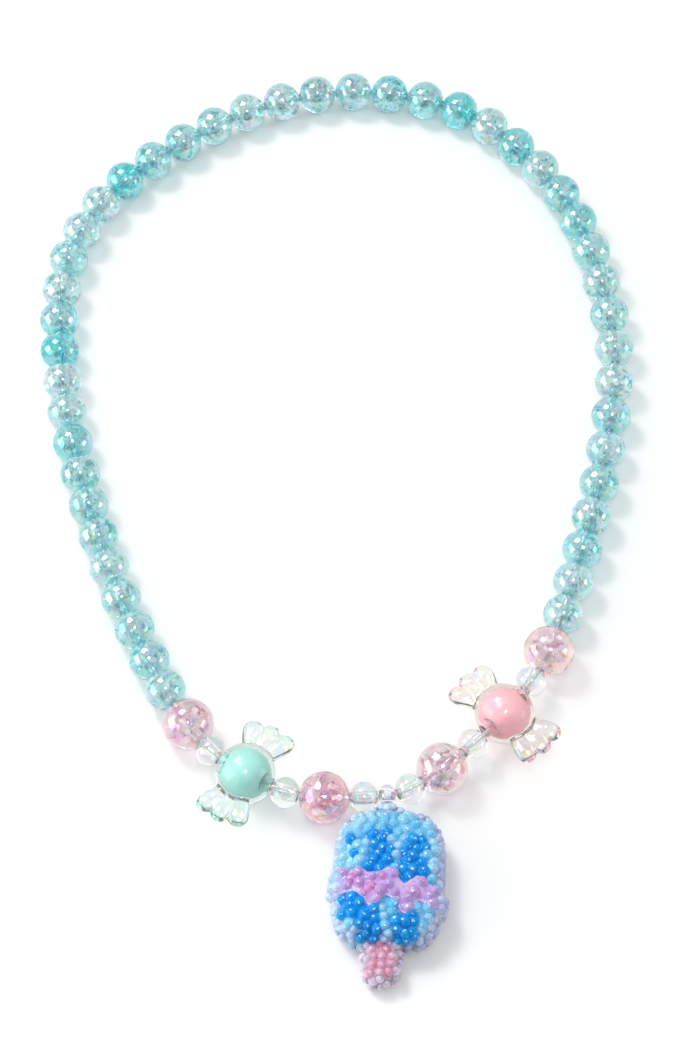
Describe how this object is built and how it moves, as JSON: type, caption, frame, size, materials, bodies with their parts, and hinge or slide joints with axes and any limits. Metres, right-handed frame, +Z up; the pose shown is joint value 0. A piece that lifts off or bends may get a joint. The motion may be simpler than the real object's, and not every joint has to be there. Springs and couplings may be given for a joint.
{
  "type": "beaded plastic candy necklace",
  "caption": "Child's stretch necklace of clear crackled plastic beads, with wrapped-candy beads and a beaded ice lolly pendant, laid out in its loop.",
  "frame": {"origin": "on the table, under the middle of the outline of the necklace as it lies", "axes": "+Z up from the table, +Y from the pendant across the loop to the far end, +X to the right of a person who looks along +Y"},
  "size_m": [0.1224, 0.2176, 0.012],
  "materials": {
    "aqua_acrylic": "clear aqua acrylic, crackled inside, pearl lustre on the surface",
    "pink_acrylic": "clear pink acrylic, crackled inside, pearl lustre on the surface",
    "clear_acrylic": "clear acrylic with a faint pearl lustre",
    "candy_turquoise": "opaque turquoise ball under clear acrylic",
    "candy_pink": "opaque pink ball under clear acrylic",
    "lolly_resin": "glossy resin over small round beads: blue body, lilac band, pink stick",
    "elastic": "clear stretch cord"
  },
  "bodies": {
    "root": {"aqua_bead_01": "aqua_acrylic", "aqua_bead_02": "aqua_acrylic", "aqua_bead_03": "aqua_acrylic", "aqua_bead_04": "aqua_acrylic", "aqua_bead_05": "aqua_acrylic", "aqua_bead_06": "aqua_acrylic", "aqua_bead_07": "aqua_acrylic", "aqua_bead_08": "aqua_acrylic", "aqua_bead_09": "aqua_acrylic", "aqua_bead_10": "aqua_acrylic", "aqua_bead_11": "aqua_acrylic", "aqua_bead_12": "aqua_acrylic", "aqua_bead_13": "aqua_acrylic", "aqua_bead_14": "aqua_acrylic", "aqua_bead_15": "aqua_acrylic", "aqua_bead_16": "aqua_acrylic", "aqua_bead_17": "aqua_acrylic", "aqua_bead_18": "aqua_acrylic", "aqua_bead_19": "aqua_acrylic", "aqua_bead_20": "aqua_acrylic", "aqua_bead_21": "aqua_acrylic", "aqua_bead_22": "aqua_acrylic", "aqua_bead_23": "aqua_acrylic", "aqua_bead_24": "aqua_acrylic", "aqua_bead_25": "aqua_acrylic", "aqua_bead_26": "aqua_acrylic", "aqua_bead_27": "aqua_acrylic", "aqua_bead_28": "aqua_acrylic", "aqua_bead_29": "aqua_acrylic", "aqua_bead_30": "aqua_acrylic", "aqua_bead_31": "aqua_acrylic", "aqua_bead_32": "aqua_acrylic", "aqua_bead_33": "aqua_acrylic", "aqua_bead_34": "aqua_acrylic", "aqua_bead_35": "aqua_acrylic", "aqua_bead_36": "aqua_acrylic", "aqua_bead_37": "aqua_acrylic", "aqua_bead_38": "aqua_acrylic", "aqua_bead_39": "aqua_acrylic", "aqua_bead_40": "aqua_acrylic", "aqua_bead_41": "aqua_acrylic", "aqua_bead_42": "aqua_acrylic", "aqua_bead_43": "aqua_acrylic", "aqua_bead_44": "aqua_acrylic", "aqua_bead_45": "aqua_acrylic", "pink_bead_01": "pink_acrylic", "pink_bead_02": "pink_acrylic", "pink_bead_03": "pink_acrylic", "pink_bead_04": "pink_acrylic", "clear_bead_01": "clear_acrylic", "clear_bead_02": "clear_acrylic", "clear_bead_03": "clear_acrylic", "clear_bead_04": "clear_acrylic", "clear_bead_05": "clear_acrylic", "clear_bead_06": "clear_acrylic", "candy_bead_pink": "candy_pink", "candy_bead_turquoise": "candy_turquoise", "lolly_pendant": "lolly_resin", "elastic_cord": "elastic"}
  },
  "joints": []
}
